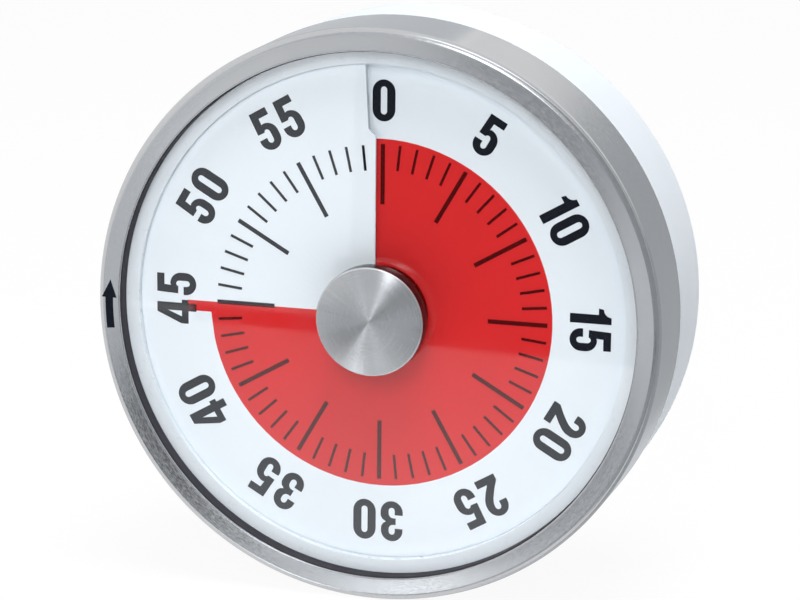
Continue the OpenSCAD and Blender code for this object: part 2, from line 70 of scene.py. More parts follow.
# The spindle frame: millimetres, x right, y up, z toward the reader from the ring's face
DEPTH = -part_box("front_ring")[0].y / MM
TO_ROW = Matrix(((MM, 0, 0, 0), (0, 0, -MM, -DEPTH * MM), (0, MM, 0, 0), (0, 0, 0, 1)))

RING_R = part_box("front_ring")[1].x / MM
RING_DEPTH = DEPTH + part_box("front_ring")[1].y / MM
KNOB_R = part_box("knob_cap")[1].x / MM
KNOB_TOP = -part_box("knob_cap")[0].y / MM - DEPTH
KNOB_BASE = -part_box("knob_cap")[1].y / MM - DEPTH

# The dial is one turn of a helix: the middle of its sheet starts at this height, under the 0
DIAL_START = -4.425
DIAL_SHEET = 0.4
DIAL_PITCH = 1.2
DIAL_TOP = DIAL_START + DIAL_SHEET / 2

MINUTE = 6  # degrees of the dial
SHARP = math.radians(30)  # faces that meet at more than this keep their edge
WELD = 1e-5  # points closer than this are one


# ---------------------------------------------------------------- sizes and colours


class TimerRingSizes(bpy.types.PropertyGroup):
    """Sizes of the drawn steel ring and its arrow, in millimetres"""

    face_width: FloatProperty(name="Face width", description="Width of the flat face", default=3.15)
    sheet: FloatProperty(name="Sheet", description="Thickness of the drawn steel", default=0.5)
    bend: FloatProperty(name="Bend", description="Radius of the outer bend", default=1.0)
    dish: FloatProperty(
        name="Dish", description="Fall of the face from its inner edge to the bend", default=0.11
    )
    arrow_radius: FloatProperty(
        name="Arrow radius", description="Distance of the arrow from the spindle", default=37.84
    )
    arrow_length: FloatProperty(name="Arrow length", description="Length of the arrow", default=6.8)


class TimerPrintSizes(bpy.types.PropertyGroup):
    """Sizes of the print on the dial, in millimetres"""

    tick_outer: FloatProperty(name="Tick end", description="Outer radius of the ticks", default=23.24)
    minor_inner: FloatProperty(
        name="Minute start", description="Inner radius of a minute tick", default=19.78
    )
    major_inner: FloatProperty(
        name="Five-minute start", description="Inner radius of a five-minute tick", default=14.98
    )
    minor_width: FloatProperty(name="Minute width", description="Width of a minute tick", default=0.38)
    major_width: FloatProperty(
        name="Five-minute width", description="Width of a five-minute tick", default=0.6
    )
    numeral_radius: FloatProperty(
        name="Numeral radius",
        description="Distance of the numerals' middle from the spindle",
        default=29.15,
    )
    numeral_gap: FloatProperty(name="Numeral gap", description="Gap between two digits", default=0.68)
    ink: FloatProperty(name="Ink", description="Height of the print above the dial", default=0.02)


class TimerLensSizes(bpy.types.PropertyGroup):
    """Sizes of the lens, in millimetres"""

    radius: FloatProperty(name="Radius", description="Radius of the lens inside its seal", default=36.14)
    hole: FloatProperty(name="Hole", description="Radius of the hole for the knob's neck", default=3.75)
    edge: FloatProperty(name="Edge", description="Rounding of the front edges", default=0.1)
    seat: FloatProperty(name="Seat", description="Gap between the lens and its ledge", default=0.03)
    fit: FloatProperty(name="Fit", description="Gap between the lens and its seal", default=0.06)


class TimerKnobSizes(bpy.types.PropertyGroup):
    """Sizes of the turned knob, in millimetres"""

    chamfer: FloatProperty(name="Chamfer", description="Chamfer round the face", default=0.2)
    skin: FloatProperty(name="Skin", description="Thickness of the metal cap", default=0.6)
    steps: IntProperty(name="Steps", description="Sides of the turned cap", default=128)


class TimerFinish(bpy.types.PropertyGroup):
    """Colours of the finishes"""

    steel: FloatVectorProperty(
        name="Steel",
        description="Colour of the brushed ring",
        subtype="COLOR",
        default=(0.55, 0.56, 0.575),
    )
    knob: FloatVectorProperty(
        name="Knob",
        description="Colour of the turned knob",
        subtype="COLOR",
        default=(0.54, 0.55, 0.565),
    )
    red: FloatVectorProperty(
        name="Film",
        description="Colour that the film's own body gives back",
        subtype="COLOR",
        default=(0.78, 0.02, 0.022),
    )
    white: FloatVectorProperty(
        name="Dial",
        description="Colour of the dial",
        subtype="COLOR",
        default=(0.795, 0.856, 0.908),
    )
    case: FloatVectorProperty(
        name="Case",
        description="Colour of the moulded case",
        subtype="COLOR",
        default=(0.80, 0.85, 0.905),
    )
    ink: FloatVectorProperty(
        name="Ink",
        description="Colour of the print",
        subtype="COLOR",
        default=(0.006, 0.008, 0.014),
    )


class TimerStage(bpy.types.PropertyGroup):
    """Camera, lights and fineness of the round pieces"""

    lens: FloatProperty(
        name="Lens", description="Focal length of the camera, in millimetres", default=159.5
    )
    key: FloatProperty(name="Top light", description="Power of the light above, in watts", default=8.4)
    fill: FloatProperty(
        name="Fill light", description="Power of the light in front, in watts", default=4.2
    )
    low: FloatProperty(
        name="Low light", description="Power of the low light in front, in watts", default=0.4
    )
    sky: FloatProperty(
        name="Sky", description="Strength of the even light from all round", default=0.26
    )
    steps: IntProperty(
        name="Steps", description="Sides of the ring, lens, seal and bead", default=192
    )


# ---------------------------------------------------------------- mesh helpers


def arc(cx, cy, rx, ry, start, end, steps):
    """Points on an ellipse between two angles in degrees."""
    angles = [math.radians(start + (end - start) * i / steps) for i in range(steps + 1)]
    return [(cx + rx * math.cos(angle), cy + ry * math.sin(angle)) for angle in angles]


def placed(bm, name):
    """The bmesh as an object of the scene."""
    mesh = bpy.data.meshes.new(name)
    bm.to_mesh(mesh)
    bm.free()
    obj = bpy.data.objects.new(name, mesh)
    bpy.context.scene.collection.objects.link(obj)
    return obj


def finished(bm, name, body, material, smooth=True):
    """The bmesh, in the spindle frame, as a piece of the timer that rides on a body."""
    bmesh.ops.remove_doubles(bm, verts=bm.verts, dist=WELD)
    bmesh.ops.recalc_face_normals(bm, faces=bm.faces)
    bmesh.ops.transform(bm, matrix=TO_ROW, verts=bm.verts)
    for face in bm.faces:
        face.smooth = smooth
    for edge in bm.edges:
        edge.smooth = smooth and edge.calc_face_angle(math.pi) < SHARP
    obj = placed(bm, name)
    obj.data.materials.append(material)
    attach(obj, body)
    return obj


def closed_loop(bm, points):
    """Adds a closed loop through some points and returns its vertices and edges."""
    verts = [bm.verts.new(point) for point in points]
    return verts, [bm.edges.new(pair) for pair in zip(verts, verts[1:] + verts[:1])]


def turned(profile, steps):
    """A bmesh turned on the spindle from a closed profile of (radius, height) points."""
    bm = bmesh.new()
    verts, edges = closed_loop(bm, [(r, 0, z) for r, z in profile])
    bmesh.ops.spin(
        bm,
        geom=verts + edges,
        cent=(0, 0, 0),
        axis=(0, 0, 1),
        angle=math.tau,
        steps=steps,
        use_merge=True,
    )
    return bm


def flat_print(bm, loops, thickness, matrix):
    """Adds a raised shape from closed loops, the first outside and the others holes."""
    edges = []
    for loop in loops:
        edges += closed_loop(bm, [(x, y, 0) for x, y in loop])[1]
    filled = bmesh.ops.triangle_fill(bm, edges=edges, use_beauty=True)
    faces = [f for f in filled["geom"] if isinstance(f, bmesh.types.BMFace)]
    raised = bmesh.ops.extrude_face_region(bm, geom=faces, use_keep_orig=True)
    top = [v for v in raised["geom"] if isinstance(v, bmesh.types.BMVert)]
    bmesh.ops.translate(bm, vec=(0, 0, thickness), verts=top)
    base = list({v for f in faces for v in f.verts})
    bmesh.ops.transform(bm, matrix=matrix, verts=base + top)


def follow_dial(bm):
    """Lifts a print from z = 0 to the climbing surface of the dial."""
    before_slit = 4  # degrees left of twelve o'clock that the print at 0 may reach
    for v in bm.verts:
        turn = math.degrees(math.atan2(v.co.x, v.co.y)) % 360
        if turn > 360 - before_slit:
            turn -= 360
        v.co.z += DIAL_TOP + DIAL_PITCH * turn / 360


# ---------------------------------------------------------------- material helpers

NOISE_RANGE = (0.3, 0.7)  # where noise mostly lies
MIX_FACTOR, MIX_FIRST, MIX_SECOND, MIX_RESULT = 0, 6, 7, 2  # the colour sockets of a Mix node
SIDEWAYS = 0.25  # of a turn: the brushing runs along the tangent
DIAL_COAT = {"roughness": 0.42, "grain": 0.000006, "specular": 0.35}

WHITE = (1, 1, 1, 1)
LENS_TINT = (0.992, 0.996, 0.998, 1)
FILM_TINT = (0.905, 0.172, 0.172, 1)
RUBBER = (0.028, 0.026, 0.034)
ARBOR_STEEL = (0.55, 0.55, 0.56)
BRASS = (0.72, 0.52, 0.22)
WHEEL_PLASTIC = (0.8, 0.77, 0.66)
CORE_PLASTIC = (0.03, 0.03, 0.032)
SPRING_STEEL = (0.22, 0.25, 0.33)
BELL_STEEL = (0.5, 0.51, 0.53)
MAGNET_GREY = (0.42, 0.42, 0.43)


class Shader:
    """A small builder for one material's nodes."""

    def __init__(self, name):
        self.material = bpy.data.materials.new(name)
        self.material.use_nodes = True
        self.tree = self.material.node_tree
        self.tree.nodes.clear()
        self.out = self.node("ShaderNodeOutputMaterial")
        self.coords = self.node("ShaderNodeTexCoord").outputs["Object"]

    def node(self, kind, inputs=None, **settings):
        made = self.tree.nodes.new(kind)
        for key, value in settings.items():
            setattr(made, key, value)
        for key, value in (inputs or {}).items():
            self.put(value, made.inputs[key])
        return made

    def put(self, value, socket):
        """Links a socket, or sets a plain value."""
        if isinstance(value, bpy.types.NodeSocket):
            self.tree.links.new(value, socket)
        else:
            socket.default_value = value

    def math(self, operation, *values):
        made = self.node("ShaderNodeMath", operation=operation)
        for value, socket in zip(values, made.inputs):
            self.put(value, socket)
        return made.outputs[0]

    def vector(self, *values):
        made = self.node("ShaderNodeCombineXYZ")
        for value, socket in zip(values, made.inputs):
            self.put(value, socket)
        return made.outputs[0]

    def noise(self, vector, scale=1.0, detail=2.0, roughness=0.5):
        inputs = {"Vector": vector, "Scale": scale, "Detail": detail, "Roughness": roughness}
        return self.node("ShaderNodeTexNoise", inputs).outputs["Fac"]

    def grain(self, per_metre, detail=2.0, drawn=None):
        """Noise of one frequency, or with another along z."""
        scale = (per_metre, per_metre, drawn or per_metre)
        vector = self.node("ShaderNodeMapping", {"Vector": self.coords, "Scale": scale})
        return self.noise(vector.outputs[0], detail=detail)

    def ranged(self, value, start, end, low, high):
        """Maps start..end to low..high."""
        inputs = {"Value": value, "From Min": start, "From Max": end, "To Min": low, "To Max": high}
        return self.node("ShaderNodeMapRange", inputs).outputs[0]

    def spread(self, noise, low, high):
        return self.ranged(noise, *NOISE_RANGE, low, high)

    def blend(self, first, second, share):
        """A share of the first value and the rest of the second."""
        return self.math(
            "ADD", self.math("MULTIPLY", first, share), self.math("MULTIPLY", second, 1 - share)
        )

    def toned(self, noise, base, low, high):
        """The base colour times low to high, by the noise."""
        made = self.node("ShaderNodeMix", data_type="RGBA")
        self.put(self.spread(noise, 0, 1), made.inputs[MIX_FACTOR])
        self.put((*colour(base, low), 1), made.inputs[MIX_FIRST])
        self.put((*colour(base, high), 1), made.inputs[MIX_SECOND])
        return made.outputs[MIX_RESULT]

    def bump(self, height, distance, strength):
        inputs = {"Height": height, "Distance": distance, "Strength": strength}
        return self.node("ShaderNodeBump", inputs).outputs[0]

    def round_spindle(self):
        """(radius, turn, depth) round the spindle as sockets, in metres and radians."""
        x, y, z = self.node("ShaderNodeSeparateXYZ", {"Vector": self.coords}).outputs
        squares = self.math("ADD", self.math("MULTIPLY", x, x), self.math("MULTIPLY", z, z))
        return self.math("SQRT", squares), self.math("ARCTAN2", x, z), y

    def brushed_round(self, along, across):
        """Noise drawn out into fine rings round the spindle: along and across are its frequencies."""
        radius, turn, depth = self.round_spindle()
        vector = self.vector(
            self.math("MULTIPLY", radius, across),
            self.math("MULTIPLY", turn, along),
            self.math("MULTIPLY", depth, across),
        )
        return self.noise(vector, detail=3.0, roughness=0.6)

    def tangent(self):
        """The direction round the spindle at each point, turned along with the piece."""
        x, _, z = self.node("ShaderNodeSeparateXYZ", {"Vector": self.coords}).outputs
        turned_too = self.node(
            "ShaderNodeVectorTransform",
            {"Vector": self.vector(z, 0.0, self.math("MULTIPLY", x, -1.0))},
            vector_type="VECTOR",
            convert_from="OBJECT",
            convert_to="WORLD",
        )
        unit = self.node(
            "ShaderNodeVectorMath", {"Vector": turned_too.outputs[0]}, operation="NORMALIZE"
        )
        return unit.outputs[0]

    def principled(self, **inputs):
        inputs = {key.replace("_", " "): value for key, value in inputs.items()}
        return self.node("ShaderNodeBsdfPrincipled", inputs).outputs[0]

    def glow(self, tint, strength):
        return self.node("ShaderNodeEmission", {"Color": tint, "Strength": strength}).outputs[0]

    def clear(self, tint):
        return self.node("ShaderNodeBsdfTransparent", {"Color": tint}).outputs[0]

    def mixed(self, factor, first, second):
        """The first surface, and by a factor the second."""
        made = self.node("ShaderNodeMixShader")
        for value, socket in zip((factor, first, second), made.inputs):
            self.put(value, socket)
        return made.outputs[0]

    def shown(self, surface):
        self.put(surface, self.out.inputs["Surface"])
        return self.material


def colour(value, factor):
    return tuple(min(1.0, c * factor) for c in value)


def brushed_steel(name, base, roughness=0.17, along=60.0, across=4400.0):
    """Sheet steel brushed round the spindle."""
    s = Shader(name)
    fine = s.brushed_round(along, across)
    tone = s.blend(fine, s.grain(60, detail=3.0), 0.6)
    return s.shown(
        s.principled(
            Base_Color=s.toned(tone, base, 0.925, 1.075),
            Metallic=1.0,
            Roughness=s.spread(fine, roughness - 0.04, roughness + 0.05),
            Anisotropic=0.15,
            Anisotropic_Rotation=SIDEWAYS,
            Tangent=s.tangent(),
            Normal=s.bump(fine, distance=0.000003, strength=0.3),
        )
    )


def turned_metal(name, base, along=1.2, across=14000.0, fans=9.0):
    """A face turned on a lathe: fine rings that draw a highlight out into two fans."""
    s = Shader(name)
    rings = s.brushed_round(along, across)
    turn = s.round_spindle()[1]
    circle = [s.math("MULTIPLY", s.math(side, turn), fans) for side in ("SINE", "COSINE")]
    rays = s.noise(s.vector(*circle), scale=2.0, detail=4.0, roughness=0.65)
    return s.shown(
        s.principled(
            Base_Color=s.toned(s.blend(rings, rays, 0.4), base, 0.92, 1.07),
            Metallic=1.0,
            Roughness=s.spread(rings, 0.22, 0.28),
            Anisotropic=1.0,
            Anisotropic_Rotation=SIDEWAYS,
            Tangent=s.tangent(),
            Normal=s.bump(rings, distance=0.000004, strength=0.2),
        )
    )


def moulded(name, base, roughness=0.35, grain=0.00002, specular=0.5):
    """Injection-moulded plastic with a fine orange peel and a faint change of tone."""
    s = Shader(name)
    peel = s.grain(900)
    return s.shown(
        s.principled(
            Base_Color=s.toned(s.grain(45), base, 0.975, 1.01),
            Roughness=s.spread(peel, roughness - 0.04, roughness + 0.05),
            Specular_IOR_Level=specular,
            Normal=s.bump(peel, distance=grain, strength=0.4),
        )
    )


def inked(name, base):
    """Screen-printed ink with a slight mottle."""
    s = Shader(name)
    mottle = s.grain(2500)
    return s.shown(
        s.principled(
            Base_Color=s.toned(mottle, base, 0.8, 1.3),
            Roughness=s.spread(mottle, 0.5, 0.62),
            Specular_IOR_Level=0.06,
        )
    )


def clear_lens(name, ior=1.85):
    """A thin clear window: what is behind it shows unbent, and the outer face mirrors for both."""
    s = Shader(name)
    fresnel = s.node("ShaderNodeFresnel", {"IOR": ior}).outputs[0]
    back = s.node("ShaderNodeNewGeometry").outputs["Backfacing"]
    mirror = s.math("MULTIPLY", fresnel, s.math("SUBTRACT", 1.0, back))
    smear = s.spread(s.grain(120, detail=3.0), 0.015, 0.035)
    gloss = s.node("ShaderNodeBsdfGlossy", {"Color": WHITE, "Roughness": smear}).outputs[0]
    return s.shown(s.mixed(mirror, s.clear(LENS_TINT), gloss))


def tinted_film(name, base):
    """Translucent film: what is behind shows through each face tinted, and its body gives some back."""
    s = Shader(name)
    cloud = s.grain(150, detail=3.0)
    body = s.principled(
        Base_Color=s.toned(cloud, base, 0.96, 1.03), Roughness=0.22, Specular_IOR_Level=0.35
    )
    return s.shown(s.mixed(s.spread(cloud, 0.05, 0.06), s.clear(FILM_TINT), body))


def plated(name, base, roughness=0.3, tone=0.12):
    """Plain metal, lightly worn."""
    s = Shader(name)
    fine = s.grain(4000, drawn=300)
    return s.shown(
        s.principled(
            Base_Color=s.toned(s.grain(300, detail=3.0), base, 1 - tone, 1 + tone),
            Metallic=1.0,
            Roughness=s.spread(fine, roughness - 0.06, roughness + 0.1),
            Normal=s.bump(fine, distance=0.000006, strength=0.3),
        )
    )


def soft_rubber(name, base):
    """Matt rubber with a dusty bloom."""
    s = Shader(name)
    dust = s.grain(3000)
    return s.shown(
        s.principled(
            Base_Color=s.toned(dust, base, 0.85, 1.25),
            Roughness=s.spread(dust, 0.55, 0.7),
            Specular_IOR_Level=0.35,
            Normal=s.bump(dust, distance=0.00001, strength=0.3),
        )
    )


def seen_rays(tree):
    """1 for what the eye gets straight, mirrored or through a lens, and 0 for what only lights."""
    path = tree.nodes.new("ShaderNodeLightPath").outputs
    seen = path["Is Camera Ray"]
    for ray in ("Is Glossy Ray", "Is Transmission Ray"):
        either = tree.nodes.new("ShaderNodeMath")
        either.operation = "MAXIMUM"
        tree.links.new(seen, either.inputs[0])
        tree.links.new(path[ray], either.inputs[1])
        seen = either.outputs[0]
    return seen


# ---------------------------------------------------------------- glyphs

# Each digit has its width, its outline and its holes, in millimetres from its lower left corner
GLYPH_HEIGHT = 5.7
GLYPHS = {
    "0": (
        3.2,
        [
            arc(1.6, 4.05, 1.6, 1.65, 0, 180, 14) + arc(1.6, 1.65, 1.6, 1.65, 180, 360, 14),
            arc(1.6, 4.28, 0.44, 0.47, 0, 180, 10) + arc(1.6, 1.42, 0.44, 0.47, 180, 360, 10),
        ],
    ),
    "1": (
        2.15,
        [
            [(0.88, 0), (2.15, 0), (2.15, 5.7), (1.25, 5.7)]
            + arc(0.1, 5.75, 1.12, 1.12, -5, -88, 6)
            + [(0, 3.95), (0.88, 3.95)]
        ],
    ),
    "2": (
        3.2,
        [
            [(0.06, 0), (3.12, 0), (3.12, 1.08), (1.62, 1.08), (2.35, 2.0), (2.9, 2.85), (3.14, 3.5)]
            + arc(1.6, 4.1, 1.56, 1.6, 0, 180, 14)
            + [(0.06, 3.72), (1.17, 3.72)]
            + arc(1.61, 4.3, 0.44, 0.47, 180, 0, 10)
            + [(2.02, 3.8), (1.72, 3.1), (0.95, 1.98), (0.06, 0.92)]
        ],
    ),
    "3": (
        3.2,
        [
            arc(1.58, 4.15, 1.54, 1.55, 0, 180, 14)
            + [(0.04, 3.88), (1.14, 3.88)]
            + arc(1.58, 4.3, 0.44, 0.47, 180, 0, 10)
            + arc(1.42, 4.0, 0.6, 0.65, 0, -90, 6)
            + [(1.02, 3.35), (1.02, 2.42)]
            + arc(1.42, 1.72, 0.62, 0.7, 90, 0, 6)
            + arc(1.6, 1.4, 0.44, 0.47, 0, -180, 10)
            + [(1.16, 1.95), (0.02, 1.95)]
            + arc(1.6, 1.58, 1.58, 1.58, 180, 360, 14)
            + [(3.16, 2.15), (2.9, 2.62), (2.4, 2.92), (2.85, 3.22), (3.08, 3.65)]
        ],
    ),
    "4": (
        3.3,
        [
            [
                (1.78, 0), (2.9, 0), (2.9, 1.15), (3.35, 1.15), (3.35, 2.12), (2.9, 2.12),
                (2.9, 5.7), (1.52, 5.7), (0, 2.2), (0, 1.15), (1.78, 1.15),
            ],
            [(1.8, 2.12), (1.8, 4.15), (0.98, 2.12)],
        ],
    ),
    "5": (
        3.2,
        [
            [(0.38, 5.7), (0.22, 2.65), (1.24, 2.62)]
            + arc(1.62, 2.42, 0.42, 0.5, 155, 0, 8)
            + arc(1.62, 1.42, 0.42, 0.48, 0, -180, 10)
            + [(1.2, 1.85), (0.06, 1.85)]
            + arc(1.6, 1.56, 1.56, 1.56, 180, 360, 14)
            + arc(1.6, 2.22, 1.56, 1.56, 0, 92, 10)
            + [(1.34, 3.68), (1.42, 4.64), (2.98, 4.64), (2.98, 5.7)]
        ],
    ),
}


# ---------------------------------------------------------------- stage, in metres

CAMERA_AT = Vector((0.1340, -0.4725, 0.1114))
CAMERA_AXES = (
    Vector((0.95889, 0.28365, 0.00892)),
    Vector((-0.07311, 0.21656, 0.97353)),
    Vector((0.27421, -0.93416, 0.22839)),
)
SENSOR = 36
CLIP_START, CLIP_END = 0.01, 20

FLOOR_HALF, FLOOR_BEHIND = 1.5, 0.5
FLOOR_GREY, FLOOR_ROUGHNESS = 0.9, 0.7
FLOOR_GLOW = 0.93  # share of the floor that the eye gets as plain white
SKY_TINT = (0.97, 0.985, 1, 1)

# Each lamp has its place, its width and height, and the stage value that is its power
LAMPS_AIM = (0, -0.015, 0)
LAMPS = {
    "top_light": ((0.12, -0.2, 0.92), (0.5, 0.5), "key"),
    "front_light": ((0.08, -0.98, 0.57), (0.36, 0.45), "fill"),
    "low_light": ((-0.3, -1.0, 0.25), (1.3, 0.5), "low"),
}

# Each card has its sides (left, right, foot, top), its distance, and its grey at the foot and the top
CARD_TILT = -0.026
CARD_TINT = (0.93, 0.965, 1, 1)
CARDS = {
    "low_board": ((-0.412, -0.185, -0.372, -0.258), -1.0, 1.35, 0.62),
    "low_lamp": ((-0.32, -0.225, -0.56, -0.40), -1.0, 2.25),
    "low_side_card": ((-0.42, -0.32, -0.60, -0.372), -1.005, 0.72),
    "under_card": ((-0.37, -0.185, -0.95, -0.56), -1.0, 0.4),
    "floor_lamp": ((-0.55, -0.40, -0.90, -0.60), -0.99, 3.0),
    "high_lamp": ((-0.10, 0.10, 0.18, 0.66), -1.0, 5.4),
    "spark_card": ((-0.2, 1.6, 2.25, 4.6), -1.0, 3.0),
    "top_card": ((-0.60, -0.15, -0.01, 0.90), -1.0, 0.78),
    "dark_strip": ((-0.31, -0.175, -0.26, -0.225), -0.995, 0.04),
    "lead_strip": ((-0.374, -0.305, -0.2595, -0.252), -0.995, 0.04),
    "dark_card": ((-0.305, -0.175, -0.23, -0.12), -1.01, 0.04),
    "corner_card": ((-0.24, 0.0, -0.14, 0.05), -1.01, 0.42),
    "grey_card": ((-0.42, -0.30, -0.26, -0.10), -1.02, 0.64),
    "left_card": ((-0.62, -0.412, -0.52, -0.33), -1.0, 0.08),
    "upper_left_card": ((-0.66, -0.42, -0.33, -0.09), -1.01, 0.84),
    "far_left_card": ((-1.2, -0.62, -0.52, -0.15), -1.0, 0.72),
    "right_card": ((-0.185, 0.5, -0.75, -0.30), -1.0, 0.5),
    "right_strip": ((0.02, 0.80, -0.30, -0.25), -0.99, 0.08),
    "side_card": ((-0.175, 0.03, -0.30, -0.14), -1.02, 0.95),
    "camera_card": ((0.03, 0.50, -0.24, 0.42), -1.0, 0.44),
    "flank_card": ((0.50, 20.0, -1.2, 2.2), -1.02, 0.42),
    "far_flank_card": ((3.0, 300.0, -120.0, 9.0), -1.03, 0.42),
    "roof_card": ((-1.2, -0.2, 0.1, 1.2), 1.5, 0.7),
    "heel_card": ((-0.22, 0.05, -0.95, -0.40), 1.48, 0.78),
    "left_back_card": ((-1.2, -0.2, -2.6, 0.1), 1.5, 0.72),
    "back_card": ((-0.2, 20.0, -2.6, 0.45), 1.5, 0.5),
    "far_back_card": ((2.5, 300.0, -120.0, 9.0), 1.51, 0.5),
}


# ---------------------------------------------------------------- operators


class TIMER_OT_ring(bpy.types.Operator):
    """Builds the drawn steel ring with its brushed face, soft bend and trimmed edges"""

    bl_idname = "timer.ring"
    bl_label = "Steel ring"

    def execute(self, context):
        size, finish = context.scene.timer_ring, context.scene.timer_finish
        lip, sheet, bend = RING_R - size.face_width, size.sheet, size.bend
        burr, crest, fall, lean = 0.12, 0.01, size.dish, 4
        profile = (
            arc(lip + burr, -burr, burr, burr, 180, 90, 4)
            + [(lip + 2 * burr, -crest), (RING_R - bend - burr, -fall)]
            + arc(RING_R - bend, -bend - fall, bend, bend, 90 - lean, 0, 12)
            + [(RING_R, -bend - fall - burr), (RING_R, -RING_DEPTH + 2 * burr)]
            + arc(RING_R - burr, -RING_DEPTH + burr, burr, burr, 0, -90, 4)
            + [(RING_R - sheet, -RING_DEPTH)]
            + arc(RING_R - bend, -bend - fall, bend - sheet, bend - sheet, 0, 90, 6)
            + [(lip, -sheet)]
        )
        bm = turned(profile, context.scene.timer_stage.steps)
        ring = finished(bm, "ring", "case", brushed_steel("ring_steel", finish.steel))
        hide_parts("front_ring")
        return {"FINISHED"}


class TIMER_OT_arrow(bpy.types.Operator):
    """Prints the curved arrow on the ring, at nine o'clock and pointing the way the knob winds"""

    bl_idname = "timer.arrow"
    bl_label = "Arrow"

    def execute(self, context):
        size, finish = context.scene.timer_ring, context.scene.timer_finish
        radius = size.arrow_radius
        head_half, shaft_half, head_length = 1.1, 0.56, 2.5
        tip_above, tip_inward = 2.74, 0.12
        ink, above_face = 0.02, 0.004
        degrees = math.degrees(1 / radius)
        tip = 180 - math.degrees(tip_above / radius)
        neck, tail = tip + head_length * degrees, tip + size.arrow_length * degrees

        def edge(out, start, end, steps):
            return arc(0, 0, radius + out, radius + out, start, end, steps)

        loop = edge(shaft_half, tail, neck, 6)
        for out, angle in ((head_half, neck), (-tip_inward, tip), (-head_half, neck)):
            loop += edge(out, angle, angle, 1)[:1]
        loop += edge(-shaft_half, neck, tail, 6)
        bm = bmesh.new()
        flat_print(bm, [loop], ink, Matrix.Translation((0, 0, above_face)))
        lip = RING_R - size.face_width
        slope = size.dish / (size.face_width - size.bend)
        for v in bm.verts:
            v.co.z -= slope * (math.hypot(v.co.x, v.co.y) - lip)
        arrow = finished(bm, "arrow", "case", inked("arrow_ink", finish.ink), smooth=False)
        return {"FINISHED"}


class TIMER_OT_ticks(bpy.types.Operator):
    """Prints the sixty ticks on the climbing dial, every fifth one long and broad"""

    bl_idname = "timer.ticks"
    bl_label = "Ticks"

    def execute(self, context):
        size, finish = context.scene.timer_print, context.scene.timer_finish
        bm = bmesh.new()
        for minute in range(60):
            major = minute % 5 == 0
            inner = size.major_inner if major else size.minor_inner
            half = (size.major_width if major else size.minor_width) / 2
            loop = [(-half, inner), (half, inner), (half, size.tick_outer), (-half, size.tick_outer)]
            place = Matrix.Rotation(math.radians(-MINUTE * minute), 4, "Z")
            flat_print(bm, [loop], size.ink, place)
        follow_dial(bm)
        ticks = finished(bm, "ticks", "case", inked("tick_ink", finish.ink), smooth=False)
        return {"FINISHED"}


class TIMER_OT_numerals(bpy.types.Operator):
    """Prints the twelve numerals round the dial, tops outward"""

    bl_idname = "timer.numerals"
    bl_label = "Numerals"

    def execute(self, context):
        size, finish = context.scene.timer_print, context.scene.timer_finish
        sideways = 0.1
        bm = bmesh.new()
        for minute in range(0, 60, 5):
            digits = [GLYPHS[digit] for digit in str(minute)]
            place = Matrix.Rotation(math.radians(-MINUTE * minute), 4, "Z")
            place = place @ Matrix.Translation((sideways, size.numeral_radius, 0))
            at = -(sum(width for width, _ in digits) + size.numeral_gap * (len(digits) - 1)) / 2
            for width, loops in digits:
                left_foot = Matrix.Translation((at, -GLYPH_HEIGHT / 2, 0))
                flat_print(bm, loops, size.ink, place @ left_foot)
                at += width + size.numeral_gap
        follow_dial(bm)
        numerals = finished(bm, "numerals", "case", inked("numeral_ink", finish.ink), smooth=False)
        return {"FINISHED"}


class TIMER_OT_knob(bpy.types.Operator):
    """Builds the turned metal cap of the knob, with painted shade on its side and a painted highlight on
    its chamfer
    """

    bl_idname = "timer.knob"
    bl_label = "Knob"

    def execute(self, context):
        size, finish = context.scene.timer_knob, context.scene.timer_finish
        cut, soft, foot = size.chamfer, 0.05, 0.1
        ease = soft * 0.4
        inside, middle = KNOB_R - size.skin, KNOB_R / 2
        profile = [
            (0, KNOB_TOP - size.skin),
            (0, KNOB_TOP),
            (middle, KNOB_TOP),
            (KNOB_R - cut - soft, KNOB_TOP),
            (KNOB_R - cut, KNOB_TOP - ease),
            (KNOB_R - ease, KNOB_TOP - cut),
            (KNOB_R, KNOB_TOP - cut - soft),
            (KNOB_R, KNOB_BASE + foot),
            (KNOB_R - foot, KNOB_BASE),
            (inside, KNOB_BASE),
            (inside, KNOB_TOP - size.skin),
        ]
        bm = turned(profile, size.steps)
        knob = finished(bm, "knob_face", "knob", turned_metal("knob_metal", finish.knob))
        # Painted shade: the side is a much darker copy of the knob metal, standing in for the shade and
        # the shadowed red film that the steel side mirrors
        side = plated("knob_side", colour(finish.knob, 0.14), roughness=0.14, tone=0.05)
        # Painted highlight: the chamfer is a brighter copy of the knob metal, on top of the real
        # reflection that it catches
        edge = plated("knob_edge", colour(finish.knob, 1.25), roughness=0.14, tone=0.03)
        knob.data.materials.append(side)
        knob.data.materials.append(edge)
        upright, forward = 0.3, -0.9
        for face in knob.data.polygons:
            if abs(face.normal.y) < upright:
                face.material_index = 1
            elif face.normal.y > forward:
                face.material_index = 2
        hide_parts("knob_cap")
        return {"FINISHED"}


class TIMER_OT_window(bpy.types.Operator):
    """Builds the clear lens, a disc with a hole for the knob's neck and rounded edges"""

    bl_idname = "timer.window"
    bl_label = "Lens"

    def execute(self, context):
        size = context.scene.timer_lens
        low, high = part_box("lens")
        front, rear, rim = -low.y / MM - DEPTH, -high.y / MM - DEPTH + size.seat, size.radius
        hole, soft = size.hole, size.edge
        profile = (
            arc(hole + soft, front - soft, soft, soft, 180, 90, 4)
            + [(hole + 2 * soft, front), (rim - 2 * soft, front)]
            + arc(rim - soft, front - soft, soft, soft, 90, 0, 4)
            + [(rim, rear), (hole, rear)]
        )
        bm = turned(profile, context.scene.timer_stage.steps)
        window = finished(bm, "window", "case", clear_lens("lens_clear"))
        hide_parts("lens")
        window.visible_shadow = window.visible_diffuse = False
        return {"FINISHED"}


